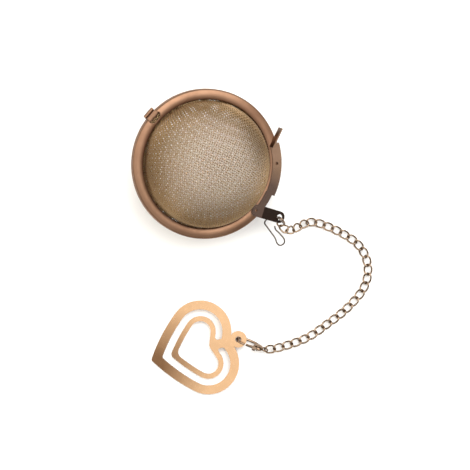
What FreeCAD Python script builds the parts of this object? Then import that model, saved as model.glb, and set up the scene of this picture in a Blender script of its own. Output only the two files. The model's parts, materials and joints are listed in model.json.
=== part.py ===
import FreeCAD, Part
import math
import os
import re
import Sketcher

# Tea infuser: a ball of woven wire in two hinged halves, held shut by a stamped side latch,
# on a chain with a lobster clasp and a flat heart charm. Millimetres and degrees, +Z up.
# The origin is the point where the ball rests on the table. The ball leans a little
# towards its latch, and the chain, the clasp and the charm lie on the table.

SIZES = {
    # rim strips, one on each half
    "ring_radius": 25.0,
    "rim_height": 1.9,
    "rim_wall": 0.4,
    "rim_rounding": 0.8,
    "rim_band": 3.5,
    "rim_gap": 0.1,
    # woven bowls
    "crown_excess": 4.3,
    "knuckle_radius": 12.0,
    "mesh_wall": 0.4,
    "mesh_rise": 0.5,
    "mesh_gap": 0.4,
    # how the ball lies
    "ball_tilt": 15.5,
    "tilt_heading": -23.0,
    # hinge
    "hinge_heading": 139.0,
    "hinge_offset": 0.75,
    "hinge_width": 3.9,
    "hinge_leaf_width": 1.6,
    "hinge_side_gap": 0.08,
    "hinge_loop_wall": 0.3,
    "strap_thickness": 0.3,
    "strap_reach": 0.5,
    "strap_lip": 0.3,
    "slot_clearance": 0.15,
    "slot_length": 2.2,
    "slot_corner": 1.2,
    "pin_radius": 0.3,
    "pin_overhang": 0.1,
    "running_fit": 0.05,
    # latch
    "latch_heading": -42.3,
    "pivot_inset": 1.98,
    "rivet_radius": 0.8,
    "rivet_bore": 0.45,
    "rivet_head_radius": 1.35,
    "rivet_head_height": 0.25,
    "lever_thickness": 0.45,
    "lever_lift": 0.05,
    "arm_start": 2.0,
    "arm_span": 58.5,
    "arm_width": 3.1,
    "strap_width": 2.4,
    "strap_inset": 0.3,
    "skirt_gap": 0.15,
    "skirt_start": 17.5,
    "skirt_drop": 3.2,
    "dimple_radius": 0.5,
    "dimple_angle": 42.7,
    "dimple_inset": 1.4,
    "sector_overlap": 1.0,
    "tab_root_inset": 2.8,
    "tab_bend_inset": 0.9,
    "tab_bend_angle": 62.7,
    "tab_tip_overhang": 2.4,
    "tab_tip_angle": 69.0,
    "tab_lean": 10.0,
    "tab_turn": 45.0,
    "tab_height": 2.6,
    "lug_turn": 25.6,
    "lug_width": 4.0,
    "lug_reach": 9.05,
    "lug_end": 1.95,
    "pivot_end": 1.45,
    "lug_bend": 2.5,
    "lug_slope": 18.0,
    "lug_hole": 1.0,
    # wire clip in the lug hole
    "clip_wire": 0.25,
    # chain
    "link_wire": 0.275,
    "link_half_length": 1.825,
    "link_bend": 1.25,
    "link_gap": 0.06,
    "link_roll": 45.0,
    # lobster clasp
    "clasp_reach": 9.6,
    "clasp_width": 4.4,
    "clasp_arm": 0.8,
    "clasp_depth": 0.8,
    "clasp_head": 3.5,
    "clasp_head_depth": 1.6,
    "clasp_back": 0.7,
    "clasp_eye_radius": 1.2,
    "clasp_eye_hole": 0.7,
    "clasp_neck": 1.1,
    "clasp_shoulder": 2.6,
    "fork_room": 0.3,
    "clasp_throat": 2.6,
    "clasp_gate_end": 6.7,
    "clasp_gate_gap": 0.08,
    "clasp_slot": 0.9,
    "clasp_pivot_x": 2.5,
    "clasp_pivot_y": -1.2,
    "clasp_pin": 0.25,
    "clasp_roll": -120.0,
    "clasp_rise": 0.0,
    "clasp_height": 2.35,
    "clasp_heading": 158.6,
    "lever_plate": 0.5,
    "lever_bar": 0.8,
    "thumb_tab": 0.9,
    "thumb_start": 0.7,
    "thumb_length": 0.9,
    "gate_inset": 0.1,
    "spring_radius": 0.5,
    "spring_length": 0.28,
    # heart charm
    "heart_thickness": 0.9,
    "heart_tip": 30.5,
    "heart_lobe_x": 11.9,
    "heart_lobe_y": 5.6,
    "heart_lobe": 10.5,
    "heart_side": 60.0,
    "heart_band": 3.0,
    "heart_slot": 2.3,
    "heart_inner_band": 1.7,
    "heart_bridge": 2.9,
    "eyelet_radius": 2.8,
    "eyelet_hole": 1.05,
    "heart_heading": 193.6,
    "heart_lean_heading": 218.0,
    "heart_tip_inset": 1.28,
    "heart_notch_slant": 20.0,
    "heart_edge_rounding": 1.0,
    "slot_edge_rounding": 0.8,
    "inner_edge_rounding": 1.6,
    "hole_edge_rounding": 2.2,
    "slot_end_rounding": 0.8,
    "table_gap": 0.02,
}

# Route of the chain from the lug to the clasp: the compass heading in plan of the links where
# it bends, by link number. The links between two of these turn evenly.
ROUTE = {
    1: -80,
    2: -38,
    3: 4,
    4: 30,
    5: 25,
    6: 0,
    7: -18,
    11: -34,
    14: -76,
    18: -128,
    22: -144,
    24: -143,
    27: -161,
    29: -165,
    30: -176,
}
# How far down the first links have come at their far ends, as shares of the whole way from
# the lug to the table, and how far each is twisted out of the way the lying links lie.
HANGING_SHARES = [0.19, 0.40, 0.61, 0.80, 0.94, 1.0]
HANGING_TWISTS = [-25, -20, -15, -10, -5, 0]
# How far up the last links have come at their far ends, as shares of the way to the clasp.
CLIMBING_SHARES = [0.1, 0.3, 0.6, 1.0]

# Middle of the first link's wire where it bends through the lug hole, from the hole's middle.
CHAIN_START = (0.25, -0.1, 0.2)

# Bends of the wire clip, from the middle of the lug hole: its pin end, the lug hole,
# the long leg, the bulb and the short leg with its hooked end.
CLIP_BENDS = [
    (1.75, -2.4, 0.9),
    (0.1, -0.7, 1.9),
    (-0.4, 0.15, 0.5),
    (-1.2, 0.0, -1.3),
    (-4.2, -0.6, -1.9),
    (-5.1, -1.9, -2.7),
    (-1.2, -7.1, -6.2),
    (-0.7, -8.8, -7.2),
    (0.45, -9.7, -7.7),
    (1.9, -8.8, -7.3),
    (1.9, -7.4, -6.5),
    (-0.1, -5.1, -5.2),
    (-1.2, -4.2, -4.5),
    (-1.5, -3.0, -3.9),
]

Vector = FreeCAD.Vector
Placement = FreeCAD.Placement
Rotation = FreeCAD.Rotation
UP = Vector(0, 0, 1)

THROUGH = 200  # longer than any piece is deep
BEND_SHARE = 0.45  # how much of the shorter run beside it a bend of wire takes
MOST_LEAN = 25  # no charm leans further than this
HALVINGS = 50
EDGE_POINTS = 12

doc = FreeCAD.newDocument("TeaInfuser")
sheet = doc.addObject("Spreadsheet::Sheet", "Sizes")


def fill_sheet():
    for row, (name, number) in enumerate(SIZES.items(), start=1):
        sheet.set(f"A{row}", name)
        sheet.set(f"B{row}", str(number))
        sheet.setAlias(f"B{row}", name)
    doc.recompute()


def in_sheet(expression):
    """The expression with each size's name turned into its cell of the sheet."""
    return re.sub(r"[a-z_]+", lambda word: sheet_name(word.group()), expression)


def sheet_name(word):
    return f"Sizes.{word}" if word in SIZES else word


def value(expression):
    return float(sheet.evalExpression(in_sheet(expression)))


def bind(thing, prop, expression):
    thing.setExpression(prop, in_sheet(expression))


# Sizes that follow from the sheet

LIP_RADIUS = "(ring_radius - rim_band)"
RIM_LOW = "(rim_gap / 2)"
RIM_TOP = "(rim_gap / 2 + rim_height)"
BOWL_RADIUS = "(ring_radius - rim_band - mesh_gap)"
KNUCKLE_Z = f"({RIM_TOP} + mesh_rise)"
CROWN_RADIUS = f"({BOWL_RADIUS} + crown_excess)"
CROWN_SINE = f"(({BOWL_RADIUS} - knuckle_radius) / ({CROWN_RADIUS} - knuckle_radius))"
CROWN_COSINE = f"sqrt(1 - {CROWN_SINE} ^ 2)"
CROWN_Z = f"({KNUCKLE_Z} - ({CROWN_RADIUS} - knuckle_radius) * {CROWN_COSINE})"
HINGE_RADIUS = "(ring_radius + hinge_offset)"
LOOP_BORE = "(pin_radius + running_fit)"
LOOP_RADIUS = "(pin_radius + running_fit + hinge_loop_wall)"
PIVOT_RADIUS = "(ring_radius - pivot_inset)"
LEVER_Z = f"({RIM_TOP} + lever_lift)"
LEVER_TOP = f"({LEVER_Z} + lever_thickness)"
SKIRT_INNER = "(ring_radius + skirt_gap)"
SKIRT_OUTER = "(ring_radius + skirt_gap + lever_thickness)"
CLASP_HALF = "(clasp_width / 2)"
CLASP_TIP = "(clasp_reach + clasp_arm / 2)"


# Sketches and features


def new_body(label):
    body = doc.addObject("PartDesign::Body", label)
    body.Label = label
    return body


def new_sketch(body, plane="XY_Plane", lift="0"):
    sketch = body.newObject("Sketcher::SketchObject", f"{body.Label}_sketch")
    role = [feature for feature in body.Origin.OriginFeatures if feature.Role == plane]
    sketch.AttachmentSupport = [(role[0], "")]
    sketch.MapMode = "FlatFace"
    bind(sketch, "AttachmentOffset.Base.z", lift)
    return sketch


def driven(sketch, constraint, expression):
    index = sketch.addConstraint(constraint)
    bind(sketch, f"Constraints[{index}]", expression)


def arc_between(start, end, radius, bulge):
    """Arc shorter than a half turn; bulge is 1 where it turns left and -1 where it turns right."""
    chord = end - start
    middle = (start + end) * 0.5
    rise = math.sqrt(max(radius**2 - chord.Length**2 / 4, 0))
    left = Vector(-chord.y, chord.x, 0).normalize()
    centre = middle + left * rise * bulge
    first, last = (start, end) if bulge > 0 else (end, start)
    angles = [math.atan2(point.y - centre.y, point.x - centre.x) for point in (first, last)]
    return Part.ArcOfCircle(Part.Circle(centre, UP, radius), *angles)


def outline(sketch, corners, arcs=None):
    """Closed outline through corners, each a pair of expressions.

    arcs gives, for the side that leaves a corner, its radius and which way it turns.
    """
    arcs = arcs or {}
    places = [Vector(value(x), value(y), 0) for x, y in corners]
    starts = []
    for index, start in enumerate(places):
        end = places[(index + 1) % len(places)]
        if index in arcs:
            radius, bulge = arcs[index]
            side = sketch.addGeometry(arc_between(start, end, value(radius), bulge))
            driven(sketch, Sketcher.Constraint("Radius", side, value(radius)), radius)
            first, last = (1, 2) if bulge > 0 else (2, 1)
        else:
            side = sketch.addGeometry(Part.LineSegment(start, end))
            first, last = 1, 2
        starts.append((side, first, last))
    for index, (side, first, last) in enumerate(starts):
        x, y = corners[index]
        following = starts[(index + 1) % len(starts)]
        joint = Sketcher.Constraint("Coincident", side, last, following[0], following[1])
        sketch.addConstraint(joint)
        across = Sketcher.Constraint("DistanceX", -1, 1, side, first, places[index].x)
        driven(sketch, across, x)
        along = Sketcher.Constraint("DistanceY", -1, 1, side, first, places[index].y)
        driven(sketch, along, y)


def circle(sketch, x, y, radius):
    centre = Vector(value(x), value(y), 0)
    side = sketch.addGeometry(Part.Circle(centre, UP, value(radius)))
    driven(sketch, Sketcher.Constraint("DistanceX", -1, 1, side, 3, centre.x), x)
    driven(sketch, Sketcher.Constraint("DistanceY", -1, 1, side, 3, centre.y), y)
    driven(sketch, Sketcher.Constraint("Radius", side, value(radius)), radius)


def box_outline(sketch, low_x, low_y, high_x, high_y):
    outline(sketch, [(low_x, low_y), (high_x, low_y), (high_x, high_y), (low_x, high_y)])


def pad(body, sketch, length, midplane=False):
    feature = body.newObject("PartDesign::Pad", f"{body.Label}_pad")
    feature.Profile = sketch
    feature.SideType = "Symmetric" if midplane else "One side"
    bind(feature, "Length", length)
    return feature


def cut_through(body, sketch):
    """Pocket that goes right through on both sides of the sketch."""
    feature = body.newObject("PartDesign::Pocket", f"{body.Label}_cut")
    feature.Profile = sketch
    feature.SideType = "Symmetric"
    feature.Length = THROUGH
    return feature


def cut_slot(body, sketch, width):
    feature = body.newObject("PartDesign::Pocket", f"{body.Label}_slot")
    feature.Profile = sketch
    feature.SideType = "Symmetric"
    bind(feature, "Length", width)
    return feature


def revolve(body, sketch):
    feature = body.newObject("PartDesign::Revolution", f"{body.Label}_turned")
    feature.Profile = sketch
    feature.ReferenceAxis = (sketch, ["V_Axis"])
    feature.Angle = 360
    return feature


def turn(heading):
    return Placement(Vector(), Rotation(UP, heading))


def shift(x, y, z):
    return Placement(Vector(x, y, z), Rotation())


FLIP = Placement(Vector(), Rotation(Vector(1, 0, 0), 180))


# The ball


def ball_place():
    """The ball's frame: origin at the ball's middle, +Z out of the lid's crown."""
    heading = math.radians(value("tilt_heading"))
    axis = Vector(-math.sin(heading), math.cos(heading), 0)
    lean = Rotation(axis, value("ball_tilt"))
    crown_centre = lean.multVec(Vector(0, 0, -value(CROWN_Z)))
    return Placement(Vector(0, 0, value(CROWN_RADIUS)) - crown_centre, lean)


def mesh_bowl(label, place):
    """Bowl of woven wire as a thin shell: hem in the rim, short wall, knuckle and crown."""
    body = new_body(label)
    sketch = new_sketch(body, "XZ_Plane")
    hem = "(ring_radius - rim_wall - rim_rounding)"
    inner_crown = f"({CROWN_RADIUS} - mesh_wall)"
    corners = [
        (hem, f"{RIM_LOW} + rim_wall"),
        (hem, f"{RIM_TOP} - rim_wall"),
        (BOWL_RADIUS, f"{RIM_TOP} - rim_wall"),
        (BOWL_RADIUS, KNUCKLE_Z),
        (f"{CROWN_RADIUS} * {CROWN_SINE}", f"{CROWN_Z} + {CROWN_RADIUS} * {CROWN_COSINE}"),
        ("0", f"{CROWN_Z} + {CROWN_RADIUS}"),
        ("0", f"{CROWN_Z} + {inner_crown}"),
        (f"{inner_crown} * {CROWN_SINE}", f"{CROWN_Z} + {inner_crown} * {CROWN_COSINE}"),
        (f"{BOWL_RADIUS} - mesh_wall", KNUCKLE_Z),
        (f"{BOWL_RADIUS} - mesh_wall", f"{RIM_LOW} + rim_wall"),
    ]
    arcs = {
        3: ("knuckle_radius", 1),
        4: (CROWN_RADIUS, 1),
        6: (inner_crown, -1),
        7: ("knuckle_radius - mesh_wall", -1),
    }
    outline(sketch, corners, arcs)
    revolve(body, sketch)
    body.Placement = place
    return body


def rim(label, place):
    """Rolled strip of C section that grips the bowl's hem and opens towards the axis."""
    body = new_body(label)
    sketch = new_sketch(body, "XZ_Plane")
    inside = "(ring_radius - rim_wall)"
    bend = "(ring_radius - rim_rounding)"
    corners = [
        (LIP_RADIUS, RIM_LOW),
        (bend, RIM_LOW),
        ("ring_radius", f"{RIM_LOW} + rim_rounding"),
        ("ring_radius", f"{RIM_TOP} - rim_rounding"),
        (bend, RIM_TOP),
        (LIP_RADIUS, RIM_TOP),
        (LIP_RADIUS, f"{RIM_TOP} - rim_wall"),
        (bend, f"{RIM_TOP} - rim_wall"),
        (inside, f"{RIM_TOP} - rim_rounding"),
        (inside, f"{RIM_LOW} + rim_rounding"),
        (bend, f"{RIM_LOW} + rim_wall"),
        (LIP_RADIUS, f"{RIM_LOW} + rim_wall"),
    ]
    inner_bend = "rim_rounding - rim_wall"
    arcs = {
        1: ("rim_rounding", 1),
        3: ("rim_rounding", 1),
        7: (inner_bend, -1),
        9: (inner_bend, -1),
    }
    outline(sketch, corners, arcs)
    revolve(body, sketch)
    body.Placement = place
    return body


def pierce_for_rivet(body):
    sketch = new_sketch(body)
    angle = "(latch_heading * 1 deg)"
    x = f"{PIVOT_RADIUS} * cos({angle})"
    y = f"{PIVOT_RADIUS} * sin({angle})"
    circle(sketch, x, y, "rivet_radius")
    cut_through(body, sketch)


def hinge_half(label, place, is_leaf):
    """Bent strip: a loop round the pin, a leg up the rim's outside and a lip folded over it.

    The leaf has the middle loop and the strap the two outer ones.
    """
    body = new_body(label)
    loops = "hinge_leaf_width" if is_leaf else "hinge_width"
    bore = LOOP_BORE if is_leaf else "pin_radius"
    leg_outer = "ring_radius + strap_thickness"
    top = f"{RIM_TOP} + strap_thickness"
    shoulder = f"({LOOP_RADIUS} + hinge_side_gap)"
    lip = "(ring_radius - strap_reach)"

    loop = new_sketch(body, "XZ_Plane")
    circle(loop, HINGE_RADIUS, "0", LOOP_RADIUS)
    pad(body, loop, loops, midplane=True)
    neck = new_sketch(body, "XZ_Plane")
    box_outline(neck, "ring_radius", "0", leg_outer, f"{shoulder} + strap_thickness")
    pad(body, neck, loops, midplane=True)
    strip = new_sketch(body, "XZ_Plane")
    folded = [
        ("ring_radius", shoulder),
        (leg_outer, shoulder),
        (leg_outer, top),
        (f"{lip} - strap_thickness", top),
        (f"{lip} - strap_thickness", f"{RIM_TOP} - strap_lip"),
        (lip, f"{RIM_TOP} - strap_lip"),
        (lip, RIM_TOP),
        ("ring_radius", RIM_TOP),
    ]
    outline(strip, folded)
    pad(body, strip, "hinge_width", midplane=True)
    hole = new_sketch(body, "XZ_Plane")
    circle(hole, HINGE_RADIUS, "0", bore)
    cut_through(body, hole)
    if not is_leaf:
        gap = new_sketch(body, "XZ_Plane")
        beyond = f"{HINGE_RADIUS} + 2 * {LOOP_RADIUS}"
        box_outline(gap, "ring_radius - running_fit", f"-2 * {LOOP_RADIUS}", beyond, shoulder)
        cut_slot(body, gap, "hinge_leaf_width + 2 * hinge_side_gap")
    body.Placement = place
    return body


def cut_rim_slot(body, side):
    """Slot in the rim's face for the hinge strip's lip; side is -1 on the rim that is flipped."""
    angle = f"({side} * hinge_heading * 1 deg)"
    half = "(hinge_width / 2 + slot_clearance)"
    outer = "(ring_radius - strap_reach + running_fit)"
    inner = "(ring_radius - strap_reach - slot_length)"
    sketch = new_sketch(body, lift=f"{RIM_LOW} + rim_wall + running_fit")
    flat = f"({half} - slot_corner)"
    local = [
        (outer, f"-{half}"),
        (outer, half),
        (f"({inner} + slot_corner)", half),
        (inner, flat),
        (inner, f"-{flat}"),
        (f"({inner} + slot_corner)", f"-{half}"),
    ]
    corners = [
        (f"{x} * cos({angle}) - ({y}) * sin({angle})", f"{x} * sin({angle}) + ({y}) * cos({angle})")
        for x, y in local
    ]
    outline(sketch, corners, {2: ("slot_corner", 1), 4: ("slot_corner", 1)})
    feature = body.newObject("PartDesign::Pocket", f"{body.Label}_slot")
    feature.Profile = sketch
    feature.Reversed = True
    bind(feature, "Length", "rim_height")


def hinge_pin(place):
    pin = doc.addObject("Part::Cylinder", "hinge_pin")
    pin.Label = "hinge_pin"
    bind(pin, "Radius", "pin_radius")
    bind(pin, "Height", "hinge_width + 2 * pin_overhang")
    lying = Rotation(Vector(1, 0, 0), -90)
    start = Vector(value(HINGE_RADIUS), -value("hinge_width / 2 + pin_overhang"), 0)
    pin.Placement = place * Placement(start, lying)
    return pin


# The latch, in a frame with its origin on the rivet's axis and +X along the lug


def latch_rivet(place):
    """Hollow rivet: a plain tube through the rim with a flanged head over the lever."""
    body = new_body("latch_rivet")
    sketch = new_sketch(body, "XZ_Plane")
    head = f"({LEVER_TOP} + running_fit)"
    corners = [
        ("rivet_bore", f"{RIM_LOW} + running_fit"),
        ("rivet_radius", f"{RIM_LOW} + running_fit"),
        ("rivet_radius", head),
        ("rivet_head_radius", head),
        ("rivet_head_radius", f"{head} + rivet_head_height"),
        ("rivet_bore", f"{head} + rivet_head_height"),
    ]
    outline(sketch, corners)
    revolve(body, sketch)
    body.Placement = place
    return body


def polar(radius, angle):
    """Point at radius and angle about the ball's axis, in the latch's frame."""
    turned = f"(({angle} - lug_turn) * 1 deg)"
    x = f"-{PIVOT_RADIUS} * cos(lug_turn * 1 deg) + {radius} * cos({turned})"
    y = f"{PIVOT_RADIUS} * sin(lug_turn * 1 deg) + {radius} * sin({turned})"
    return x, y


def ring_sector(sketch, inner, outer, start, end):
    corners = [polar(inner, start), polar(outer, start), polar(outer, end), polar(inner, end)]
    outline(sketch, corners, {1: (outer, 1), 3: (inner, -1)})


def finger_tab(body):
    """Bent strip at the arm's end that leans outwards, for a fingertip to push."""
    ends = [
        polar("(ring_radius - tab_root_inset)", "arm_span - sector_overlap"),
        polar("(ring_radius - tab_bend_inset)", "tab_bend_angle"),
        polar("(ring_radius + tab_tip_overhang)", "tab_tip_angle"),
    ]
    turn_out = "((arm_span - lug_turn + tab_turn) * 1 deg)"
    off_x = f"lever_thickness * sin({turn_out})"
    off_y = f"lever_thickness * cos({turn_out})"
    far_side = [(f"{x} + {off_x}", f"{y} - {off_y}") for x, y in reversed(ends)]
    strip = new_sketch(body, lift=LEVER_Z)
    outline(strip, ends + far_side)
    feature = pad(body, strip, "tab_height")
    angle = math.radians(value("arm_span - lug_turn + tab_turn"))
    lean = math.tan(math.radians(value("tab_lean")))
    feature.UseCustomVector = True
    feature.Direction = Vector(lean * math.sin(angle), -lean * math.cos(angle), 1)


def latch_lever(place):
    """One stamped strip: lug with the chain hole, arm along the rim, skirt and finger tab."""
    body = new_body("latch_lever")
    half = "(lug_width / 2)"
    drop = "((lug_reach + lug_end - lug_bend) * tan(lug_slope * 1 deg))"
    lug_tip = "(lug_reach + lug_end)"

    side = new_sketch(body, "XZ_Plane")
    profile = [
        ("-pivot_end", LEVER_Z),
        ("lug_bend", LEVER_Z),
        (lug_tip, f"{LEVER_Z} - {drop}"),
        (lug_tip, f"{LEVER_TOP} - {drop}"),
        ("lug_bend", LEVER_TOP),
        ("-pivot_end", LEVER_TOP),
    ]
    outline(side, profile)
    pad(body, side, "lug_width", midplane=True)

    trim = new_sketch(body)
    margin = "(lug_width)"
    box_outline(trim, f"-{margin}", f"-{margin}", f"{lug_tip} + {margin}", margin)
    lug_step = f"({half} - lug_end)"
    pivot_step = f"({half} - pivot_end)"
    plan = [
        ("0", f"-{half}"),
        ("lug_reach", f"-{half}"),
        (lug_tip, f"-{lug_step}"),
        (lug_tip, lug_step),
        ("lug_reach", half),
        ("0", half),
        ("-pivot_end", pivot_step),
        ("-pivot_end", f"-{pivot_step}"),
    ]
    ends = {1: ("lug_end", 1), 3: ("lug_end", 1), 5: ("pivot_end", 1), 7: ("pivot_end", 1)}
    outline(trim, plan, ends)
    cut_through(body, trim)

    strap = new_sketch(body, lift=LEVER_Z)
    strap_end = "skirt_start + sector_overlap"
    strap_outer = "(ring_radius - strap_inset)"
    strap_inner = f"({strap_outer} - strap_width)"
    ring_sector(strap, strap_inner, strap_outer, "arm_start", strap_end)
    pad(body, strap, "lever_thickness")
    arm = new_sketch(body, lift=LEVER_Z)
    arm_inner = f"({SKIRT_OUTER} - arm_width)"
    ring_sector(arm, arm_inner, SKIRT_OUTER, "skirt_start", "arm_span")
    pad(body, arm, "lever_thickness")
    skirt = new_sketch(body, lift=f"{LEVER_TOP} - skirt_drop")
    ring_sector(skirt, SKIRT_INNER, SKIRT_OUTER, "skirt_start", "arm_span")
    pad(body, skirt, "skirt_drop")
    finger_tab(body)

    holes = new_sketch(body)
    circle(holes, "0", "0", "rivet_radius + running_fit")
    circle(holes, "lug_reach", "0", "lug_hole")
    dimple = polar(f"({arm_inner} + dimple_inset)", "dimple_angle")
    circle(holes, *dimple, "dimple_radius")
    cut_through(body, holes)
    body.Placement = place
    return body


def lug_hole_centre(latch_place):
    depth = "(lug_reach - lug_bend) * tan(lug_slope * 1 deg)"
    middle = value(f"{LEVER_Z} + lever_thickness / 2 - {depth}")
    return latch_place.multVec(Vector(value("lug_reach"), 0, middle))


# Bent wire


def rounded_path(bends):
    """Straight runs joined by tangent arcs that are as large as the runs allow."""
    edges = []
    here = bends[0]
    for index in range(1, len(bends) - 1):
        before, corner, after = bends[index - 1 : index + 2]
        back = (before - corner).normalize()
        onward = (after - corner).normalize()
        reach = BEND_SHARE * min((before - corner).Length, (after - corner).Length)
        half_turn = back.getAngle(onward) / 2
        bisector = (back + onward).normalize()
        radius = reach * math.tan(half_turn)
        middle = corner + bisector * (reach / math.cos(half_turn) - radius)
        start = corner + back * reach
        end = corner + onward * reach
        edges.append(Part.LineSegment(here, start).toShape())
        edges.append(Part.Arc(start, middle, end).toShape())
        here = end
    edges.append(Part.LineSegment(here, bends[-1]).toShape())
    return Part.Wire(edges)


def wire_clip(hole_centre):
    """Pear-shaped spring clip of round wire, passed through the lug hole."""
    path = rounded_path([Vector(*bend) for bend in CLIP_BENDS])
    first = path.Edges[0]
    start = first.valueAt(first.FirstParameter)
    along = first.tangentAt(first.FirstParameter)
    section = Part.Wire([Part.makeCircle(value("clip_wire"), start, along)])
    clip = doc.addObject("Part::Feature", "wire_clip")
    clip.Label = "wire_clip"
    clip.Shape = path.makePipeShell([section], True, False)
    clip.Placement = Placement(hole_centre, Rotation())
    return clip


# The chain


def link_shape():
    """Oval link of round wire along X, lying in the XY plane."""
    wire, bend = value("link_wire"), value("link_bend")
    half_run = value("link_half_length - link_bend")
    disk = Part.Face(Part.Wire([Part.makeCircle(wire, Vector(), Vector(1, 0, 0))]))
    pieces = []
    for side in (1, -1):
        run = disk.translated(Vector(-half_run, side * bend, 0))
        pieces.append(run.extrude(Vector(2 * half_run, 0, 0)))
        centre = Vector(side * half_run, 0, 0)
        end = disk.translated(Vector(side * half_run, -side * bend, 0))
        pieces.append(end.revolve(centre, UP, 180))
    return pieces[0].multiFuse(pieces[1:]).removeSplitter()


def root_between(function, low, high):
    """Where a function that changes sign between low and high is zero."""
    rising = function(high) > 0
    for _ in range(HALVINGS):
        middle = (low + high) / 2
        if (function(middle) > 0) == rising:
            high = middle
        else:
            low = middle
    return (low + high) / 2


def link_headings():
    """Heading of each link: those in the route, and even turns between them."""
    numbers = list(ROUTE)
    headings = [ROUTE[numbers[0]]]
    for first, last in zip(numbers, numbers[1:]):
        turn_each = (ROUTE[last] - ROUTE[first]) / (last - first)
        headings += [ROUTE[first] + turn_each * step for step in range(1, last - first + 1)]
    return headings


def link_heights(start, lying, finish, count):
    """How high the far end of each link lies: down from start, along the table, up to finish."""
    hanging = [start - share * (start - lying) for share in HANGING_SHARES]
    climbing = [lying + share * (finish - lying) for share in CLIMBING_SHARES]
    flat = count - len(hanging) - len(climbing)
    return hanging + [lying] * flat + climbing


def chain(start):
    """Links from the lug to the clasp; returns them and the middle of the last one's end.

    Each link bends round the one before it, with the gap along the line square to both wires.
    """
    half_length = value("link_half_length")
    touch = value("2 * link_wire + link_gap")
    reach = 2 * half_length - touch
    shape = link_shape()
    lying = value("(link_bend + link_wire) * sin(link_roll * 1 deg)") + value("table_gap")
    headings = link_headings()
    heights = link_heights(start.z, lying, value("clasp_height"), len(headings))
    twists = HANGING_TWISTS + [0] * (len(headings) - len(HANGING_TWISTS))
    links = []
    far_end = start
    across_last = None
    for index, (heading, height, twist) in enumerate(zip(headings, heights, twists)):
        roll = value("link_roll") * (-1) ** index - twist
        slope = math.degrees(math.asin(min(1, (far_end.z - height) / reach)))
        pointing = Rotation(UP, heading) * Rotation(Vector(0, 1, 0), slope)
        attitude = pointing * Rotation(Vector(1, 0, 0), roll)
        along = attitude.multVec(Vector(1, 0, 0))
        across = attitude.multVec(Vector(0, 1, 0))
        if across_last is None:
            near_end = start
        else:
            between = across_last.cross(across).normalize()
            step = touch if between.dot(along) > 0 else -touch
            near_end = far_end - between * step
        label = f"chain_link_{index + 1:02d}"
        link = doc.addObject("Part::Feature", label)
        link.Label = label
        link.Shape = shape
        link.Placement = Placement(near_end + along * half_length, attitude)
        links.append(link)
        far_end = near_end + along * (2 * half_length)
        across_last = across
    return links, far_end


# The lobster clasp, in a frame with its origin in its eye, +X towards its tip


def rounded_slot(sketch, low_x, high_x, half):
    """Slot-shaped outline along X with round ends, each made of two quarter turns."""
    corners = [
        (f"{low_x} + {half}", f"-{half}"),
        (f"{high_x} - {half}", f"-{half}"),
        (high_x, "0"),
        (f"{high_x} - {half}", half),
        (f"{low_x} + {half}", half),
        (low_x, "0"),
    ]
    quarter = (half, 1)
    outline(sketch, corners, {1: quarter, 2: quarter, 4: quarter, 5: quarter})


def clasp_body(place):
    body = new_body("clasp_body")
    claw = new_sketch(body)
    rounded_slot(claw, "clasp_back", CLASP_TIP, CLASP_HALF)
    pad(body, claw, "clasp_depth", midplane=True)
    head = new_sketch(body)
    corners = [
        ("0", "-clasp_neck"),
        ("clasp_eye_radius", "-clasp_neck"),
        ("clasp_shoulder", f"-{CLASP_HALF}"),
        ("clasp_head", f"-{CLASP_HALF}"),
        ("clasp_head", CLASP_HALF),
        ("clasp_shoulder", CLASP_HALF),
        ("clasp_eye_radius", "clasp_neck"),
        ("0", "clasp_neck"),
    ]
    outline(head, corners)
    pad(body, head, "clasp_head_depth", midplane=True)
    eye = new_sketch(body)
    circle(eye, "0", "0", "clasp_eye_radius")
    pad(body, eye, "clasp_depth", midplane=True)

    opening = new_sketch(body)
    inner = f"({CLASP_HALF} - clasp_arm)"
    rounded_slot(opening, "clasp_throat", "clasp_reach - clasp_arm / 2", inner)
    cut_through(body, opening)
    gate = new_sketch(body)
    box_outline(gate, "clasp_head", "-clasp_width", "clasp_gate_end", f"-{inner} + gate_inset")
    cut_through(body, gate)
    eye_hole = new_sketch(body)
    circle(eye_hole, "0", "0", "clasp_eye_hole")
    cut_through(body, eye_hole)
    fork = new_sketch(body)
    low_x = "(clasp_pivot_x - lever_bar / 2 - fork_room)"
    high_y = "(clasp_pivot_y + lever_bar / 2 + fork_room)"
    box_outline(fork, low_x, "-clasp_width", "clasp_head + fork_room", high_y)
    cut_slot(body, fork, "clasp_slot")
    pin_hole = new_sketch(body)
    circle(pin_hole, "clasp_pivot_x", "clasp_pivot_y", "clasp_pin")
    cut_through(body, pin_hole)
    body.Placement = place
    return body


def clasp_lever(place):
    """Sprung gate of the clasp: a bar from its pin to the hook's nose, with a thumb tab."""
    body = new_body("clasp_lever")
    bar = new_sketch(body, lift="-clasp_slot / 2 + running_fit")
    half = "(lever_bar / 2)"
    low_y = f"clasp_pivot_y - {half}"
    nose = "(clasp_gate_end - clasp_gate_gap)"
    slant = f"(-{CLASP_HALF} + clasp_arm)"
    thumb = "(clasp_pivot_x + thumb_start)"
    slope = "(thumb_tab / 4)"
    corners = [
        ("clasp_pivot_x", low_y),
        (f"{thumb} - {slope}", f"-{CLASP_HALF}"),
        (thumb, f"-{CLASP_HALF} - thumb_tab"),
        (f"{thumb} + thumb_length", f"-{CLASP_HALF} - thumb_tab"),
        (f"{thumb} + thumb_length + {slope}", f"-{CLASP_HALF} + gate_inset"),
        (nose, f"-{CLASP_HALF} + gate_inset"),
        (nose, slant),
        ("clasp_pivot_x", f"clasp_pivot_y + {half}"),
        (f"clasp_pivot_x - {half}", "clasp_pivot_y"),
    ]
    outline(bar, corners, {7: (half, 1), 8: (half, 1)})
    pad(body, bar, "lever_plate")
    hole = new_sketch(body)
    circle(hole, "clasp_pivot_x", "clasp_pivot_y", "clasp_pin + running_fit")
    cut_through(body, hole)
    body.Placement = place
    return body


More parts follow.
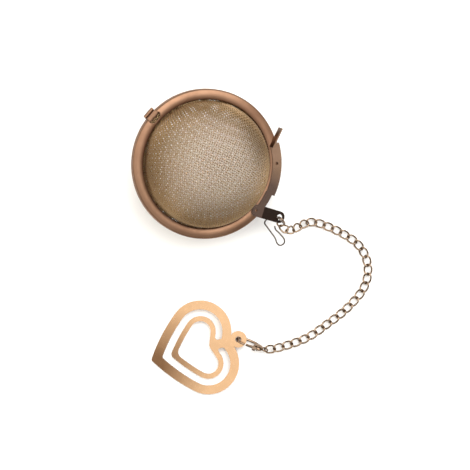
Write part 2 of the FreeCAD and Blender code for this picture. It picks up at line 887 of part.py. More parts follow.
def clasp_pin(place):
    pin = doc.addObject("Part::Cylinder", "clasp_pin")
    pin.Label = "clasp_pin"
    bind(pin, "Radius", "clasp_pin")
    bind(pin, "Height", "clasp_head_depth")
    start = (value("clasp_pivot_x"), value("clasp_pivot_y"), -value("clasp_head_depth") / 2)
    pin.Placement = place * shift(*start)
    return pin


def clasp_spring(place):
    """Torsion spring round the clasp's pin, beside the lever, as a plain ring."""
    coil = doc.addObject("Part::Cylinder", "spring_outside")
    bind(coil, "Radius", "spring_radius")
    bind(coil, "Height", "spring_length")
    core = doc.addObject("Part::Cylinder", "spring_inside")
    bind(core, "Radius", "clasp_pin + running_fit")
    bind(core, "Height", "spring_length")
    spring = doc.addObject("Part::Cut", "clasp_spring")
    spring.Label = "clasp_spring"
    spring.Base = coil
    spring.Tool = core
    low = value("clasp_slot / 2 - running_fit - spring_length")
    spring.Placement = place * shift(value("clasp_pivot_x"), value("clasp_pivot_y"), low)
    return spring


# The heart charm, in a frame with its origin in its eyelet, +X towards its tip


def point_at(centre, radius, angle):
    return centre + Vector(math.cos(angle), math.sin(angle), 0) * radius


def heart_half(inset):
    """Upper half of a heart parallel to the charm's edge: notch, lobe, long side and tip.

    The lobe is a round arc and the side a flatter one that runs on from it to the tip.
    """
    lobe_centre = Vector(value("heart_lobe_x"), value("heart_lobe_y"), 0)
    lobe = value("heart_lobe") - inset
    side = value("heart_side") - inset
    spread = side - lobe
    tip = Vector(value("heart_tip") - inset * value("heart_tip_inset"), 0, 0)
    to_tip = tip - lobe_centre
    cosine = (side**2 - spread**2 - to_tip.Length**2) / (2 * spread * to_tip.Length)
    junction = math.atan2(to_tip.y, to_tip.x) + math.acos(cosine)
    back = math.radians(180 + value("heart_notch_slant"))
    back_point = point_at(lobe_centre, lobe, back)
    notch_x = back_point.x + back_point.y * math.tan(back - math.pi)
    meeting = point_at(lobe_centre, lobe, junction)
    side_centre = point_at(lobe_centre, -spread, junction)
    tip_angle = math.atan2(tip.y - side_centre.y, tip.x - side_centre.x)
    side_middle = point_at(side_centre, side, (junction + tip_angle) / 2)
    lobe_middle = point_at(lobe_centre, lobe, (junction + back) / 2)
    return [
        Part.LineSegment(Vector(notch_x, 0, 0), back_point).toShape(),
        Part.Arc(back_point, lobe_middle, meeting).toShape(),
        Part.Arc(meeting, side_middle, tip).toShape(),
    ]


def round_uprights(block, radius, offset):
    """The block with the upright edges that stand at offset from its middle line rounded."""
    chosen = [
        edge
        for edge in block.Edges
        if edge.BoundBox.XLength + edge.BoundBox.YLength < value("table_gap")
        and abs(abs(edge.CenterOfMass.y) - offset) < value("table_gap")
    ]
    return block.makeFillet(radius, chosen)


def heart_block(inset, thickness, rounding):
    """Heart-shaped block with its notch and its tip rounded."""
    half = heart_half(inset)
    mirrored = [edge.mirror(Vector(), Vector(0, 1, 0)) for edge in half]
    wire = Part.Wire(Part.__sortEdges__(half + mirrored))
    return round_uprights(Part.Face(wire).extrude(Vector(0, 0, thickness)), rounding, 0)


def heart_charm():
    """Flat plate: heart band, slot, inner band round a heart-shaped hole, and eyelet."""
    thickness = value("heart_thickness")
    slot_start = value("heart_band")
    slot_end = value("heart_band + heart_slot")
    hole = value("heart_band + heart_slot + heart_inner_band")
    bridge = value("heart_bridge")
    reach = value("heart_lobe_x")
    neck = Part.makeBox(reach, bridge, thickness, Vector(0, -bridge / 2, 0))
    plate = heart_block(0, thickness, value("heart_edge_rounding"))
    outside = heart_block(slot_start, thickness, value("slot_edge_rounding"))
    slot = outside.cut(heart_block(slot_end, thickness, value("inner_edge_rounding"))).cut(neck)
    slot = round_uprights(slot, value("slot_end_rounding"), bridge / 2)
    window = heart_block(hole, thickness, value("hole_edge_rounding"))
    eyelet = Part.makeCylinder(value("eyelet_radius"), thickness)
    eyelet_hole = Part.makeCylinder(value("eyelet_hole"), thickness)
    shape = plate.fuse(eyelet).cut(slot).cut(window).cut(eyelet_hole).removeSplitter()
    charm = doc.addObject("Part::Feature", "heart_charm")
    charm.Label = "heart_charm"
    charm.Shape = shape
    return charm


def lay_heart(charm, eyelet):
    """Puts the charm's eyelet on the clasp and leans the plate until it touches the table."""
    heading = Rotation(UP, value("heart_heading"))
    lean_way = math.radians(value("heart_lean_heading"))
    axis = Vector(-math.sin(lean_way), math.cos(lean_way), 0)
    corners = [vertex.Point for vertex in charm.Shape.Vertexes]
    for edge in charm.Shape.Edges:
        corners += edge.discretize(EDGE_POINTS)

    to_middle = shift(0, 0, -value("heart_thickness") / 2)

    def place(lean):
        return Placement(eyelet, Rotation(axis, lean) * heading) * to_middle

    def height(lean):
        return min(place(lean).multVec(corner).z for corner in corners) - value("table_gap")

    charm.Placement = place(root_between(height, 0, MOST_LEAN))


def clasp_place(eye):
    heading = Rotation(UP, value("clasp_heading"))
    rise = Rotation(Vector(0, 1, 0), -value("clasp_rise"))
    roll = Rotation(Vector(1, 0, 0), value("clasp_roll"))
    return Placement(eye, heading * rise * roll)


# Assembly


def build_ball(place):
    flipped = place * FLIP
    hinge_frame = place * turn(value("hinge_heading"))
    lid_bowl = mesh_bowl("upper_mesh_bowl", place)
    lid_rim = rim("upper_rim", place)
    for piece in (lid_bowl, lid_rim):
        pierce_for_rivet(piece)
    lower_rim = rim("lower_rim", flipped)
    cut_rim_slot(lid_rim, 1)
    cut_rim_slot(lower_rim, -1)
    return [
        mesh_bowl("lower_mesh_bowl", flipped),
        lower_rim,
        hinge_half("hinge_strap", hinge_frame * FLIP, is_leaf=False),
        hinge_pin(hinge_frame),
        lid_bowl,
        lid_rim,
        hinge_half("hinge_leaf", hinge_frame, is_leaf=True),
    ]


def latch_frame(ball):
    around = turn(value("latch_heading"))
    return ball * around * shift(value(PIVOT_RADIUS), 0, 0) * turn(value("lug_turn"))


def build_clasp(eye):
    place = clasp_place(eye)
    tip = place.multVec(Vector(value("clasp_reach"), 0, 0))
    pieces = [clasp_body(place), clasp_lever(place), clasp_pin(place), clasp_spring(place)]
    return pieces, tip


def check(feature):
    state = set(feature.State) & {"Invalid", "Error"}
    if state:
        raise RuntimeError(f"{feature.Label} is {state}")


def write_parts(pieces):
    for feature in doc.Objects:
        check(feature)
    os.makedirs("parts", exist_ok=True)
    for piece in pieces:
        shape = piece.Shape
        if shape.isNull() or not shape.isValid():
            raise RuntimeError(f"{piece.Label} has no valid shape")
        shape.exportStep(f"parts/{piece.Label}.step")
        solids = len(shape.Solids)
        print(f"{piece.Label}: {solids} solid, {shape.Volume:.2f} mm3")


fill_sheet()
ball = ball_place()
pieces = build_ball(ball)
latch = latch_frame(ball)
pieces += [latch_rivet(latch), latch_lever(latch)]
lug_hole = lug_hole_centre(latch)
pieces.append(wire_clip(lug_hole))
links, chain_end = chain(lug_hole + Vector(*CHAIN_START))
pieces += links
clasp, clasp_tip = build_clasp(chain_end)
pieces += clasp
doc.recompute()
charm = heart_charm()
lay_heart(charm, clasp_tip)
pieces.append(charm)
doc.recompute()
write_parts(pieces)
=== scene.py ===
import json
import math

import bpy
import numpy as np
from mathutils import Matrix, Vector


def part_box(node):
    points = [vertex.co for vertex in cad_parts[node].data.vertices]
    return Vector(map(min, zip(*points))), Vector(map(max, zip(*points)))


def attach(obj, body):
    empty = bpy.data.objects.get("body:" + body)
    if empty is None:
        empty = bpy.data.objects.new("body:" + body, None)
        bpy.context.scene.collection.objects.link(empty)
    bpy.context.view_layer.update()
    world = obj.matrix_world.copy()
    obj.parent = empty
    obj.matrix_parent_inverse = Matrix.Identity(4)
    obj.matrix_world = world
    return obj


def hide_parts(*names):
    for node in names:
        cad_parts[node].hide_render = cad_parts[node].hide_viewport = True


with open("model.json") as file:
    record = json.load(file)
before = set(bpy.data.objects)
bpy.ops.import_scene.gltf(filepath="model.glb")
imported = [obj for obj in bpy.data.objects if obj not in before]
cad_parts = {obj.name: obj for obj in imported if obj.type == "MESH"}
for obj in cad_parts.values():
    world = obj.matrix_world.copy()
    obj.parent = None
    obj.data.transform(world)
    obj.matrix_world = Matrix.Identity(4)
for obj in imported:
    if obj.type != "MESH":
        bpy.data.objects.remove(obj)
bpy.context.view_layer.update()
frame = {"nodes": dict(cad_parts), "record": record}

MM = 0.001
JOINTS = {joint["name"]: joint for joint in frame["record"]["behaviour"]["joints"]}


# Camera: looking straight down

CAMERA_HEIGHT = 0.8
CAMERA_PLACE = (8.0 * MM, -22.87 * MM, CAMERA_HEIGHT)
WIDTH_SEEN = 159.8 * MM


def make_camera():
    data = bpy.data.cameras.new("camera")
    data.sensor_width = 36
    data.lens = data.sensor_width * CAMERA_HEIGHT / WIDTH_SEEN
    data.clip_end = 10
    camera = bpy.data.objects.new("camera", data)
    bpy.context.collection.objects.link(camera)
    camera.location = CAMERA_PLACE
    bpy.context.scene.camera = camera


make_camera()


# The ball's frame, from its joints


def unit(vector):
    vector = np.asarray(vector, float)
    return vector / np.linalg.norm(vector)


hinge_axis = unit(JOINTS["lid_hinge"]["axis"])
ball_up = -unit(JOINTS["latch_swing"]["axis"])
hinge_out = np.cross(hinge_axis, ball_up)
HINGE_RADIUS = 25.75 * MM
CROWN_RISE = 18.3 * MM
ball_middle = np.array(JOINTS["lid_hinge"]["pos_m"]) - hinge_out * HINGE_RADIUS
BALL_AXES = np.array([hinge_out, hinge_axis, ball_up])


def on_ball(points):
    return np.asarray(points) @ BALL_AXES + ball_middle


CROWN_TOP = on_ball([0, 0, CROWN_RISE])


# Materials


class Nodes:
    """Shorthand for building one material's node tree."""

    def __init__(self, name):
        self.material = bpy.data.materials.new(name)
        self.material.use_nodes = True
        self.tree = self.material.node_tree
        self.shader = self.tree.nodes["Principled BSDF"]
        coordinates = self.add("ShaderNodeTexCoord")
        self.place = coordinates.outputs["Object"]
        self.normal = coordinates.outputs["Normal"]

    def add(self, kind, links=None, **settings):
        node = self.tree.nodes.new(kind)
        for name, setting in settings.items():
            if name in node.inputs:
                node.inputs[name].default_value = setting
            else:
                setattr(node, name, setting)
        for name, source in (links or {}).items():
            self.tree.links.new(source, node.inputs[name])
        return node

    def noise(self, scale, detail=3.0, roughness=0.5):
        node = self.add("ShaderNodeTexNoise", {"Vector": self.place})
        node.inputs["Scale"].default_value = scale
        node.inputs["Detail"].default_value = detail
        node.inputs["Roughness"].default_value = roughness
        return node.outputs["Fac"]

    def ramp(self, source, stops):
        node = self.add("ShaderNodeValToRGB", {"Fac": source})
        ramp = node.color_ramp
        while len(ramp.elements) < len(stops):
            ramp.elements.new(0.5)
        for element, (position, colour) in zip(ramp.elements, stops):
            element.position = position
            element.color = (*colour, 1)
        return node.outputs["Color"]

    def spread(self, source, low, high):
        node = self.add("ShaderNodeMapRange", {"Value": source})
        node.inputs["From Min"].default_value = 0.3
        node.inputs["From Max"].default_value = 0.7
        node.inputs["To Min"].default_value = low
        node.inputs["To Max"].default_value = high
        return node.outputs["Result"]

    def mix(self, factor, first, second, blend="MIX"):
        node = self.tree.nodes.new("ShaderNodeMix")
        node.data_type = "RGBA"
        node.blend_type = blend
        for index, source in ((0, factor), (6, first), (7, second)):
            if hasattr(source, "is_output"):
                self.tree.links.new(source, node.inputs[index])
            elif index == 0:
                node.inputs[index].default_value = source
            else:
                node.inputs[index].default_value = (*source, 1)
        return node.outputs[2]

    def shade_by_distance(self, near, far, place, low, high):
        """Painted light and shade: from one colour to the other by distance from a point of the
        object, in metres.
        """
        node = self.add("ShaderNodeVectorMath", operation="DISTANCE")
        self.tree.links.new(self.place, node.inputs[0])
        node.inputs[1].default_value = place
        reach = self.add("ShaderNodeMapRange", {"Value": node.outputs["Value"]})
        reach.inputs["From Min"].default_value = low
        reach.inputs["From Max"].default_value = high
        return self.mix(reach.outputs["Result"], near, far)

    def shade_sides(self, flat, side):
        """Painted shade: the second colour on faces that stand upright in the object's rest place.
        """
        parts = self.add("ShaderNodeSeparateXYZ", {"Vector": self.normal})
        slope = self.add("ShaderNodeMath", {"Value": parts.outputs["Z"]}, operation="ABSOLUTE")
        share = self.add("ShaderNodeMapRange", {"Value": slope.outputs["Value"]})
        share.inputs["From Min"].default_value = 0.35
        share.inputs["From Max"].default_value = 0.85
        return self.mix(share.outputs["Result"], side, flat)

    def finish(self, colour, roughness, bump=None, depth=0.00002, metallic=1.0):
        self.tree.links.new(colour, self.shader.inputs["Base Color"])
        self.shader.inputs["Metallic"].default_value = metallic
        if hasattr(roughness, "is_output"):
            self.tree.links.new(roughness, self.shader.inputs["Roughness"])
        else:
            self.shader.inputs["Roughness"].default_value = roughness
        if bump is not None:
            node = self.add("ShaderNodeBump", {"Height": bump})
            node.inputs["Strength"].default_value = 0.6
            node.inputs["Distance"].default_value = depth
            self.tree.links.new(node.outputs["Normal"], self.shader.inputs["Normal"])
        return self.material


def plated_metal(name, dark, light, roughness, grain=900, cloud=90, place=None, sides=None):
    """Plated metal: cloudy colour, fine grain in gloss and height.

    place gives painted light and shade: a colour, the point that it spreads from, and where it
    starts and ends.
    sides gives the colour of painted shade on a flat plate's upright cut edges.
    """
    nodes = Nodes(name)
    clouds = nodes.noise(cloud, 4)
    fine = nodes.noise(grain, 6, 0.7)
    colour = nodes.ramp(clouds, [(0.3, dark), (0.7, light)])
    # painted light and shade, spreading from one point of the part
    if place:
        painted_shading_colour, point, low, high = place
        colour = nodes.shade_by_distance(painted_shading_colour, colour, point, low, high)
    # painted shade on the faces that stand upright
    if sides:
        colour = nodes.shade_sides(colour, sides)
    gloss = nodes.spread(fine, roughness - 0.06, roughness + 0.06)
    return nodes.finish(colour, gloss, fine)


PIVOT = JOINTS["latch_swing"]["pos_m"]
HEART_TIP = (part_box("heart_charm")[0][0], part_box("heart_charm")[0][1] + 0.010, 0)

MATERIALS = {
    "mesh": plated_metal(
        "woven_wire", (0.27, 0.175, 0.09), (0.42, 0.28, 0.15), 0.3, 1500, 60,
        # painted highlight: the wire turns a lighter beige near the crown of the dome, where it
        # faces the overhead light
        ((0.60, 0.50, 0.40), CROWN_TOP, 0.009, 0.021),
    ),
    "rim": plated_metal("rim_plating", (0.155, 0.083, 0.050), (0.235, 0.135, 0.083), 0.42),
    "latch": plated_metal(
        "latch_plating", (0.13, 0.08, 0.05), (0.20, 0.125, 0.085), 0.32,
        # painted shade: the lever and rivet turn darker within 10 to 16 mm of the pivot, where the
        # lug slopes away from the light
        place=((0.070, 0.046, 0.036), PIVOT, 0.010, 0.016),
    ),
    "clip": plated_metal("clip_wire", (0.10, 0.08, 0.07), (0.26, 0.22, 0.19), 0.3, 1500, 200),
    "chain": plated_metal("chain_plating", (0.19, 0.13, 0.085), (0.34, 0.25, 0.18), 0.22, 1500, 150),
    "clasp": plated_metal("clasp_plating", (0.17, 0.11, 0.07), (0.30, 0.21, 0.145), 0.24, 1500, 150),
    "charm": plated_metal(
        "charm_plating", (0.55, 0.34, 0.185), (0.64, 0.41, 0.235), 0.24, 700, 40,
        # painted reflection and shade: the heart darkens to brown towards its tip
        ((0.17, 0.09, 0.045), HEART_TIP, 0.004, 0.022),
        # painted shade on the upright cut edges of the plate
        (0.16, 0.085, 0.045),
    ),
}


# Geometry helpers


def new_object(name, vertices, faces, material):
    mesh = bpy.data.meshes.new(name)
    mesh.from_pydata([tuple(v) for v in vertices], [], faces)
    mesh.validate()
    mesh.update()
    mesh.polygons.foreach_set("use_smooth", [True] * len(mesh.polygons))
    mesh.materials.append(MATERIALS[material])
    piece = bpy.data.objects.new(name, mesh)
    bpy.context.collection.objects.link(piece)
    return piece


def settle(piece, body, slot, *nodes):
    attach(piece, body)
    if nodes:
        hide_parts(*nodes)
    return piece


def tube(path, radius, sides, closed=False):
    """Vertices and faces of a round wire along path, with frames carried along it."""
    path = np.asarray(path, float)
    count = len(path)
    if closed:
        tangent = np.roll(path, -1, axis=0) - np.roll(path, 1, axis=0)
    else:
        tangent = np.gradient(path, axis=0)
    tangent /= np.linalg.norm(tangent, axis=1)[:, None]
    side = np.cross(tangent[0], unit(np.cross(tangent[0], [0.31, 0.52, 0.79])))
    sides_along = [unit(side)]
    for index in range(1, count):
        side = sides_along[-1] - tangent[index] * (sides_along[-1] @ tangent[index])
        sides_along.append(unit(side))
    across = np.array(sides_along)
    if closed:
        last = across[-1] - tangent[0] * (across[-1] @ tangent[0])
        turn = math.atan2(np.cross(last, across[0]) @ tangent[0], last @ across[0])
        spin = np.linspace(0, turn, count, endpoint=False)
        normal = np.cross(tangent, across)
        across = across * np.cos(spin)[:, None] + normal * np.sin(spin)[:, None]
    normal = np.cross(tangent, across)
    angles = np.arange(sides) * 2 * math.pi / sides
    ring = np.cos(angles)[None, :, None] * across[:, None, :]
    ring = ring + np.sin(angles)[None, :, None] * normal[:, None, :]
    vertices = (path[:, None, :] + radius * ring).reshape(-1, 3)
    faces = []
    steps = count if closed else count - 1
    for i in range(steps):
        j = (i + 1) % count
        for k in range(sides):
            m = (k + 1) % sides
            faces.append((i * sides + k, i * sides + m, j * sides + m, j * sides + k))
    if not closed:
        faces.append(tuple(range(sides))[::-1])
        faces.append(tuple((count - 1) * sides + k for k in range(sides)))
    return vertices, faces


# Woven bowls; the lower wire is drawn thicker, to darken what shows through the upper weave

BOWL_RADIUS = 21.1 * MM
CROWN_RADIUS = BOWL_RADIUS + 4.3 * MM
KNUCKLE_RADIUS = 12 * MM
KNUCKLE_HEIGHT = 2.45 * MM
HEM_HEIGHT = 1.3 * MM
HEM_REACH = 2.4 * MM
UPPER_WIRE = 0.18 * MM
LOWER_WIRE = 0.21 * MM
WIRE_PITCH = 0.8 * MM
WEAVE_DEPTH = 1.9
WEAVE_SWING = 0.95
CROWN_ANGLE = math.asin((BOWL_RADIUS - KNUCKLE_RADIUS) / (CROWN_RADIUS - KNUCKLE_RADIUS))
CROWN_LENGTH = CROWN_RADIUS * CROWN_ANGLE
KNUCKLE_LENGTH = KNUCKLE_RADIUS * (math.pi / 2 - CROWN_ANGLE)
WALL_LENGTH = KNUCKLE_HEIGHT - HEM_HEIGHT
CROWN_HEIGHT = KNUCKLE_HEIGHT - (CROWN_RADIUS - KNUCKLE_RADIUS) * math.cos(CROWN_ANGLE)
SHEET_RADIUS = CROWN_LENGTH + KNUCKLE_LENGTH + WALL_LENGTH + HEM_REACH


def bowl_profile(along, inward):
    """Radius and height of the bowl where a flat sheet's ring of that radius goes.

    From the middle outwards: crown, knuckle, wall, and a hem that turns out into the rim.
    """
    crown = along / CROWN_RADIUS
    knuckle = CROWN_ANGLE + (along - CROWN_LENGTH) / KNUCKLE_RADIUS
    knuckle_middle = BOWL_RADIUS - KNUCKLE_RADIUS
    wall = along - CROWN_LENGTH - KNUCKLE_LENGTH
    hem = wall - WALL_LENGTH
    turned = np.clip(hem / inward, 0, 1)
    regions = [hem > 0, wall > 0, along > CROWN_LENGTH]
    radius = np.select(
        regions,
        [
            BOWL_RADIUS - inward * (1 - turned) + hem,
            BOWL_RADIUS - inward,
            knuckle_middle + (KNUCKLE_RADIUS - inward) * np.sin(knuckle),
        ],
        (CROWN_RADIUS - inward) * np.sin(crown),
    )
    height = np.select(
        regions,
        [
            HEM_HEIGHT - inward * turned,
            KNUCKLE_HEIGHT - wall,
            KNUCKLE_HEIGHT + (KNUCKLE_RADIUS - inward) * np.cos(knuckle),
        ],
        CROWN_HEIGHT + (CROWN_RADIUS - inward) * np.cos(crown),
    )
    return radius, height


def woven_bowl(name, body, node, heading, side, wire):
    """Plain weave of wire of that radius pressed over the bowl: a piece of warp, one of weft."""
    count = int(SHEET_RADIUS / WIRE_PITCH)
    offsets = (np.arange(-count, count) + 0.5) * WIRE_PITCH
    for strand, turn in (("warp", 0), ("weft", math.pi / 2)):
        vertices, faces = [], []
        start = 0
        for index, offset in enumerate(offsets):
            half = math.sqrt(max(SHEET_RADIUS**2 - offset**2, 0))
            steps = max(int(half / (WIRE_PITCH / 2)), 2)
            run = np.arange(-steps, steps + 1) * WIRE_PITCH / 2
            run = np.clip(run, -half, half)
            wave = np.cos(run / WIRE_PITCH * math.pi + index * math.pi)
            wave = wave * (1 if strand == "warp" else -1)
            flat = np.hypot(run, offset)
            angle = np.arctan2(run, offset) + turn + heading
            depth = wire * WEAVE_DEPTH + wave * wire * WEAVE_SWING
            radius, height = bowl_profile(flat, depth)
            path = np.stack([radius * np.cos(angle), radius * np.sin(angle), side * height], 1)
            tube_vertices, tube_faces = tube(on_ball(path), wire, 4)
            vertices.append(tube_vertices)
            faces += [tuple(v + start for v in face) for face in tube_faces]
            start += len(tube_vertices)
        piece = new_object(f"{name}_{strand}", np.concatenate(vertices), faces, "mesh")
        settle(piece, body, "mesh", node)


woven_bowl("upper_weave", "lid", "upper_mesh_bowl", math.radians(12), 1, UPPER_WIRE)
woven_bowl("lower_weave", "lower_half", "lower_mesh_bowl", math.radians(37), -1, LOWER_WIRE)


# Rim strips, with a crowned face, and the slot for the hinge strap's lip

LIP_RADIUS = 21.5 * MM
RING_RADIUS = 25.0 * MM
RIM_TOP = 1.95 * MM
RIM_LOW = 0.05 * MM
RIM_WALL = 0.4 * MM
RIM_SHOULDER = 24.3 * MM
RIM_MIDDLE = 23.0 * MM
RIM_CROWN = 0.26 * MM
RIM_STEPS = 288
SLOT_INNER = 22.3 * MM
SLOT_OUTER = 24.55 * MM
SLOT_HALF = 2.1 * MM
SLOT_CORNER = 1.2 * MM
SLOT_LOW = RIM_LOW + RIM_WALL * 1.2
SLOT_HIGH = 3 * MM


def rim_section():
    """Closed outline of the rolled strip, radius and height: crowned face, edge, flat back."""
    face = np.linspace(LIP_RADIUS, RIM_SHOULDER, 10)
    bow = ((face - RIM_MIDDLE) / (RIM_MIDDLE - LIP_RADIUS)) ** 2
    outside = [(r, RIM_TOP - RIM_CROWN * b) for r, b in zip(face, bow)]
    edge = RING_RADIUS - RIM_SHOULDER
    start = outside[-1][1]
    middle = (start + RIM_LOW) / 2
    for angle in np.linspace(0, math.pi, 15)[1:]:
        radius = RIM_SHOULDER + edge * math.sin(angle)
        outside.append((radius, middle + (start - middle) * math.cos(angle)))
    outside.append((LIP_RADIUS, RIM_LOW))
    inside = [(LIP_RADIUS, RIM_LOW + RIM_WALL), (RIM_SHOULDER - RIM_WALL, RIM_LOW + RIM_WALL)]
    inner_half = middle - RIM_LOW - RIM_WALL
    for angle in np.linspace(math.pi, 0, 9):
        radius = RIM_SHOULDER - RIM_WALL / 2 + (edge - RIM_WALL / 2) * math.sin(angle)
        inside.append((radius, middle + inner_half * math.cos(angle)))
    for r, b in list(zip(face, bow))[::-1]:
        if r < RIM_SHOULDER - RIM_WALL:
            inside.append((r, RIM_TOP - RIM_CROWN * b - RIM_WALL))
    return np.array(outside + inside)


def prism(outline, low, high):
    """Vertices and faces of an upright prism on the ball's own axes."""
    count = len(outline)
    points = [(x, y, z) for z in (low, high) for x, y in outline]
    faces = [tuple(range(count))[::-1], tuple(range(count, 2 * count))]
    for i in range(count):
        j = (i + 1) % count
        faces.append((i, j, count + j, count + i))
    return points, faces


def rounded_slot(inner, outer, half, corner):
    outline = [(outer, -half), (outer, half)]
    for side in (1, -1):
        for angle in np.linspace(0, math.pi / 2, 7)[::side]:
            x = inner + corner - corner * math.sin(angle)
            outline.append((x, side * (half - corner + corner * math.cos(angle))))
    return outline


def cut(piece, cutter):
    """Takes the cutter's shape out of the piece's mesh."""
    modifier = piece.modifiers.new("cut", "BOOLEAN")
    modifier.object = cutter
    modifier.solver = "EXACT"
    graph = bpy.context.evaluated_depsgraph_get()
    mesh = bpy.data.meshes.new_from_object(piece.evaluated_get(graph))
    piece.modifiers.clear()
    piece.data = mesh
    bpy.data.objects.remove(cutter)


def make_rim(name, body, node, side):
    section = rim_section()
    turns = np.arange(RIM_STEPS) * 2 * math.pi / RIM_STEPS
    ring = [
        (r * math.cos(turn), r * math.sin(turn), side * h) for turn in turns for r, h in section
    ]
    count = len(section)
    faces = []
    for i in range(RIM_STEPS):
        j = (i + 1) % RIM_STEPS
        for k in range(count):
            m = (k + 1) % count
            face = (i * count + k, j * count + k, j * count + m, i * count + m)
            faces.append(face if side > 0 else face[::-1])
    piece = new_object(name, on_ball(ring), faces, "rim")
    slot = rounded_slot(SLOT_INNER, SLOT_OUTER, SLOT_HALF, SLOT_CORNER)
    points, slot_faces = prism(slot, SLOT_LOW, SLOT_HIGH)
    points = [(x, y, side * z) for x, y, z in points]
    if side < 0:
        slot_faces = [face[::-1] for face in slot_faces]
    cut(piece, new_object("cutter", on_ball(points), slot_faces, "rim"))
    settle(piece, body, "rim", node)


make_rim("upper_rim_strip", "lid", "upper_rim", 1)
make_rim("lower_rim_strip", "lower_half", "lower_rim", -1)


# Chain of twisted curb links

LINK_HALF = 1.825 * MM
LINK_BEND = 1.25 * MM
LINK_WIRE = 0.3 * MM
LINK_TWIST = math.radians(45)


def curb_link(lay):
    """Middle line of one curb link in its own frame.

    Its ends are turned against each other, so that the chain lies flat; lay is the turn of its
    middle from its CAD solid, which is flat and stands on edge.
    """
    run = LINK_HALF - LINK_BEND
    points = []
    for side in (1, -1):
        for step in range(13):
            angle = -math.pi / 2 + math.pi * step / 12
            x = side * (run + LINK_BEND * math.cos(angle))
            y = side * LINK_BEND * math.sin(angle)
            points.append((x, y))
        points.append((0, side * LINK_BEND))
    x, y = np.array(points).T
    twist = lay - LINK_TWIST * x / LINK_HALF
    return np.stack([x, y * np.cos(twist), y * np.sin(twist)], 1)


def link_frame(index, names):
    """Middle and axes of a link, from its CAD node's box and the hinge at its far end."""
    low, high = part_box(names[index])
    middle = np.array((low + high) / 2)
    following = f"chain_swing_{index + 2:02d}" if index + 1 < len(names) else "clasp_swing"
    joint = JOINTS[following]
    along = unit(np.array(joint["pos_m"]) - middle)
    across = unit(joint["axis"])
    return middle, along, across


def make_chain():
    names = sorted(name for name in frame["nodes"] if name.startswith("chain_link"))
    for index, name in enumerate(names):
        line = curb_link(LINK_TWIST * (1 if index % 2 else -1))
        middle, along, across = link_frame(index, names)
        normal = np.cross(along, across)
        points = middle + line[:, :1] * along + line[:, 1:2] * across + line[:, 2:] * normal
        vertices, faces = tube(points, LINK_WIRE, 12, closed=True)
        piece = new_object(f"wire_{name}", vertices, faces, "chain")
        settle(piece, name, "chain", name)


make_chain()


# Lobster clasp: round cast body in place of its plain CAD solid

CLAW_BENDS = [
    (1.4, 0.3),
    (2.8, 1.35),
    (4.6, 1.82),
    (6.6, 1.86),
    (8.4, 1.55),
    (9.6, 0.85),
    (9.98, 0.0),
    (9.6, -0.85),
    (8.6, -1.45),
    (7.15, -1.72),
]
CLAW_WIRE = 0.44 * MM
CLAW_NOSE = 0.36 * MM
EYE_RING = 0.95 * MM
EYE_WIRE = 0.27 * MM
HEAD_MIDDLE = (2.3, -0.15)
HEAD_SIZE = (1.75, 1.7, 0.82)

clasp_eye = np.array(JOINTS["clasp_swing"]["pos_m"])
clasp_along = unit(np.array(JOINTS["charm_swing"]["pos_m"]) - clasp_eye)
clasp_flat = unit(JOINTS["clasp_gate"]["axis"])
CLASP_AXES = np.array([clasp_along, np.cross(clasp_flat, clasp_along), clasp_flat])


def smooth_line(bends, steps):
    """Catmull-Rom curve through the bends."""
    ends = [2 * bends[0] - bends[1], *bends, 2 * bends[-1] - bends[-2]]
    line = []
    for a, b, c, d in zip(ends, ends[1:], ends[2:], ends[3:]):
        for t in np.arange(steps) / steps:
            line.append(
                0.5 * (2 * b + (c - a) * t + (2 * a - 5 * b + 4 * c - d) * t**2
                       + (3 * b - a - 3 * c + d) * t**3)
            )
    return np.array([*line, bends[-1]])


def ball_mesh(rings, sides):
    """Vertices and faces of a unit ball."""
    vertices = [(0, 0, 1), (0, 0, -1)]
    for ring in range(1, rings):
        polar = math.pi * ring / rings
        for side in range(sides):
            turn = 2 * math.pi * side / sides
            level = math.sin(polar)
            vertices.append((level * math.cos(turn), level * math.sin(turn), math.cos(polar)))
    faces = []
    last = 2 + (rings - 2) * sides
    for i in range(sides):
        j = (i + 1) % sides
        faces.append((0, 2 + i, 2 + j))
        faces.append((1, last + j, last + i))
        for ring in range(rings - 2):
            a = 2 + ring * sides
            faces.append((a + i, a + sides + i, a + sides + j, a + j))
    return np.array(vertices), faces


def make_clasp():
    bends = np.array([(x, y, 0) for x, y in CLAW_BENDS]) * MM
    line = smooth_line(bends, 6)
    taper = np.linspace(CLAW_WIRE, CLAW_NOSE, len(line))
    claw, claw_faces = tube(line, 1, 14)
    centres = np.repeat(line, 14, axis=0)
    claw = centres + (claw - centres) * np.repeat(taper, 14)[:, None]
    turns = np.linspace(0, 2 * math.pi, 32, endpoint=False)
    eye = np.stack([EYE_RING * np.cos(turns), EYE_RING * np.sin(turns), 0 * turns], 1)
    ring, ring_faces = tube(eye, EYE_WIRE, 12, closed=True)
    head, head_faces = ball_mesh(16, 28)
    head = (head * HEAD_SIZE + np.array([*HEAD_MIDDLE, 0])) * MM
    for name, points, faces in (
        ("clasp_claw", claw, claw_faces),
        ("clasp_eye", ring, ring_faces),
        ("clasp_head", head, head_faces),
    ):
        piece = new_object(name, points @ CLASP_AXES + clasp_eye, faces, "clasp")
        settle(piece, "clasp", "clasp", "clasp_body")


make_clasp()


# CAD nodes that keep their own shape

NODE_FINISH = {
    "hinge_strap": ("rim", 0.06),
    "hinge_leaf": ("rim", 0.06),
    "hinge_pin": ("rim", 0.06),
    "latch_rivet": ("latch", 0.08),
    "latch_lever": ("latch", 0.09),
    "wire_clip": ("clip", 0),
    "clasp_lever": ("clasp", 0.12),
    "clasp_pin": ("clasp", 0.05),
    "clasp_spring": ("clasp", 0.04),
    "heart_charm": ("charm", 0.06),
}


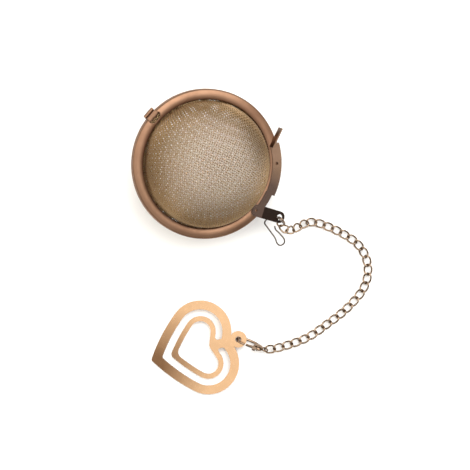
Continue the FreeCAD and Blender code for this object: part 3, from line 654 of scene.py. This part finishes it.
def finish_nodes():
    """Gives each remaining CAD node its metal, and broken edges of its own width."""
    for name, (material, edge) in NODE_FINISH.items():
        node = frame["nodes"][name]
        node.data.materials.clear()
        node.data.materials.append(MATERIALS[material])
        if edge:
            bevel = node.modifiers.new("broken_edges", "BEVEL")
            bevel.width = edge * MM
            bevel.segments = 3
            bevel.limit_method = "ANGLE"
            bevel.angle_limit = math.radians(35)


finish_nodes()


# Table and light


def make_stage():
    mesh = bpy.data.meshes.new("floor")
    half = 3.0
    corners = [(-half, -half, 0), (half, -half, 0), (half, half, 0), (-half, half, 0)]
    mesh.from_pydata(corners, [], [(0, 1, 2, 3)])
    floor = bpy.data.objects.new("floor", mesh)
    floor.location.z = -0.0001
    bpy.context.collection.objects.link(floor)
    nodes = Nodes("paper")
    colour = nodes.ramp(nodes.noise(3), [(0.3, (0.93, 0.93, 0.92)), (0.7, (0.94, 0.94, 0.93))])
    nodes.finish(colour, 0.9, metallic=0.0)
    mesh.materials.append(nodes.material)


def make_light(name, place, size, power, colour=(1, 1, 1)):
    data = bpy.data.lights.new(name, "AREA")
    data.shape = "RECTANGLE"
    data.size, data.size_y = size
    data.energy = power
    data.color = colour
    light = bpy.data.objects.new(name, data)
    light.location = place
    light.rotation_euler = (-Vector(place)).to_track_quat("-Z", "Y").to_euler()
    bpy.context.collection.objects.link(light)


def make_world():
    """Soft box all round: bright overhead, darker towards the horizon."""
    world = bpy.data.worlds.new("studio")
    bpy.context.scene.world = world
    world.use_nodes = True
    tree = world.node_tree
    direction = tree.nodes.new("ShaderNodeTexCoord").outputs["Generated"]
    split = tree.nodes.new("ShaderNodeSeparateXYZ")
    tree.links.new(direction, split.inputs[0])
    ramp = tree.nodes.new("ShaderNodeValToRGB")
    tree.links.new(split.outputs["Z"], ramp.inputs["Fac"])
    stops = [(0.0, 0.05), (0.4, 0.16), (0.72, 0.62), (0.92, 1.0)]
    while len(ramp.color_ramp.elements) < len(stops):
        ramp.color_ramp.elements.new(0.5)
    for element, (position, grey) in zip(ramp.color_ramp.elements, stops):
        element.position = position
        element.color = (grey, grey * 0.985, grey * 0.96, 1)
    back = tree.nodes["Background"]
    tree.links.new(ramp.outputs["Color"], back.inputs["Color"])
    back.inputs["Strength"].default_value = 1.45


make_stage()
make_world()
make_light("overhead", (0.45, 0.55, 1.3), (1.3, 1.3), 25)
make_light("fill", (-0.9, 0.2, 0.9), (1.0, 1.0), 8, (1.0, 0.93, 0.82))
bpy.context.scene.view_settings.view_transform = "Standard"
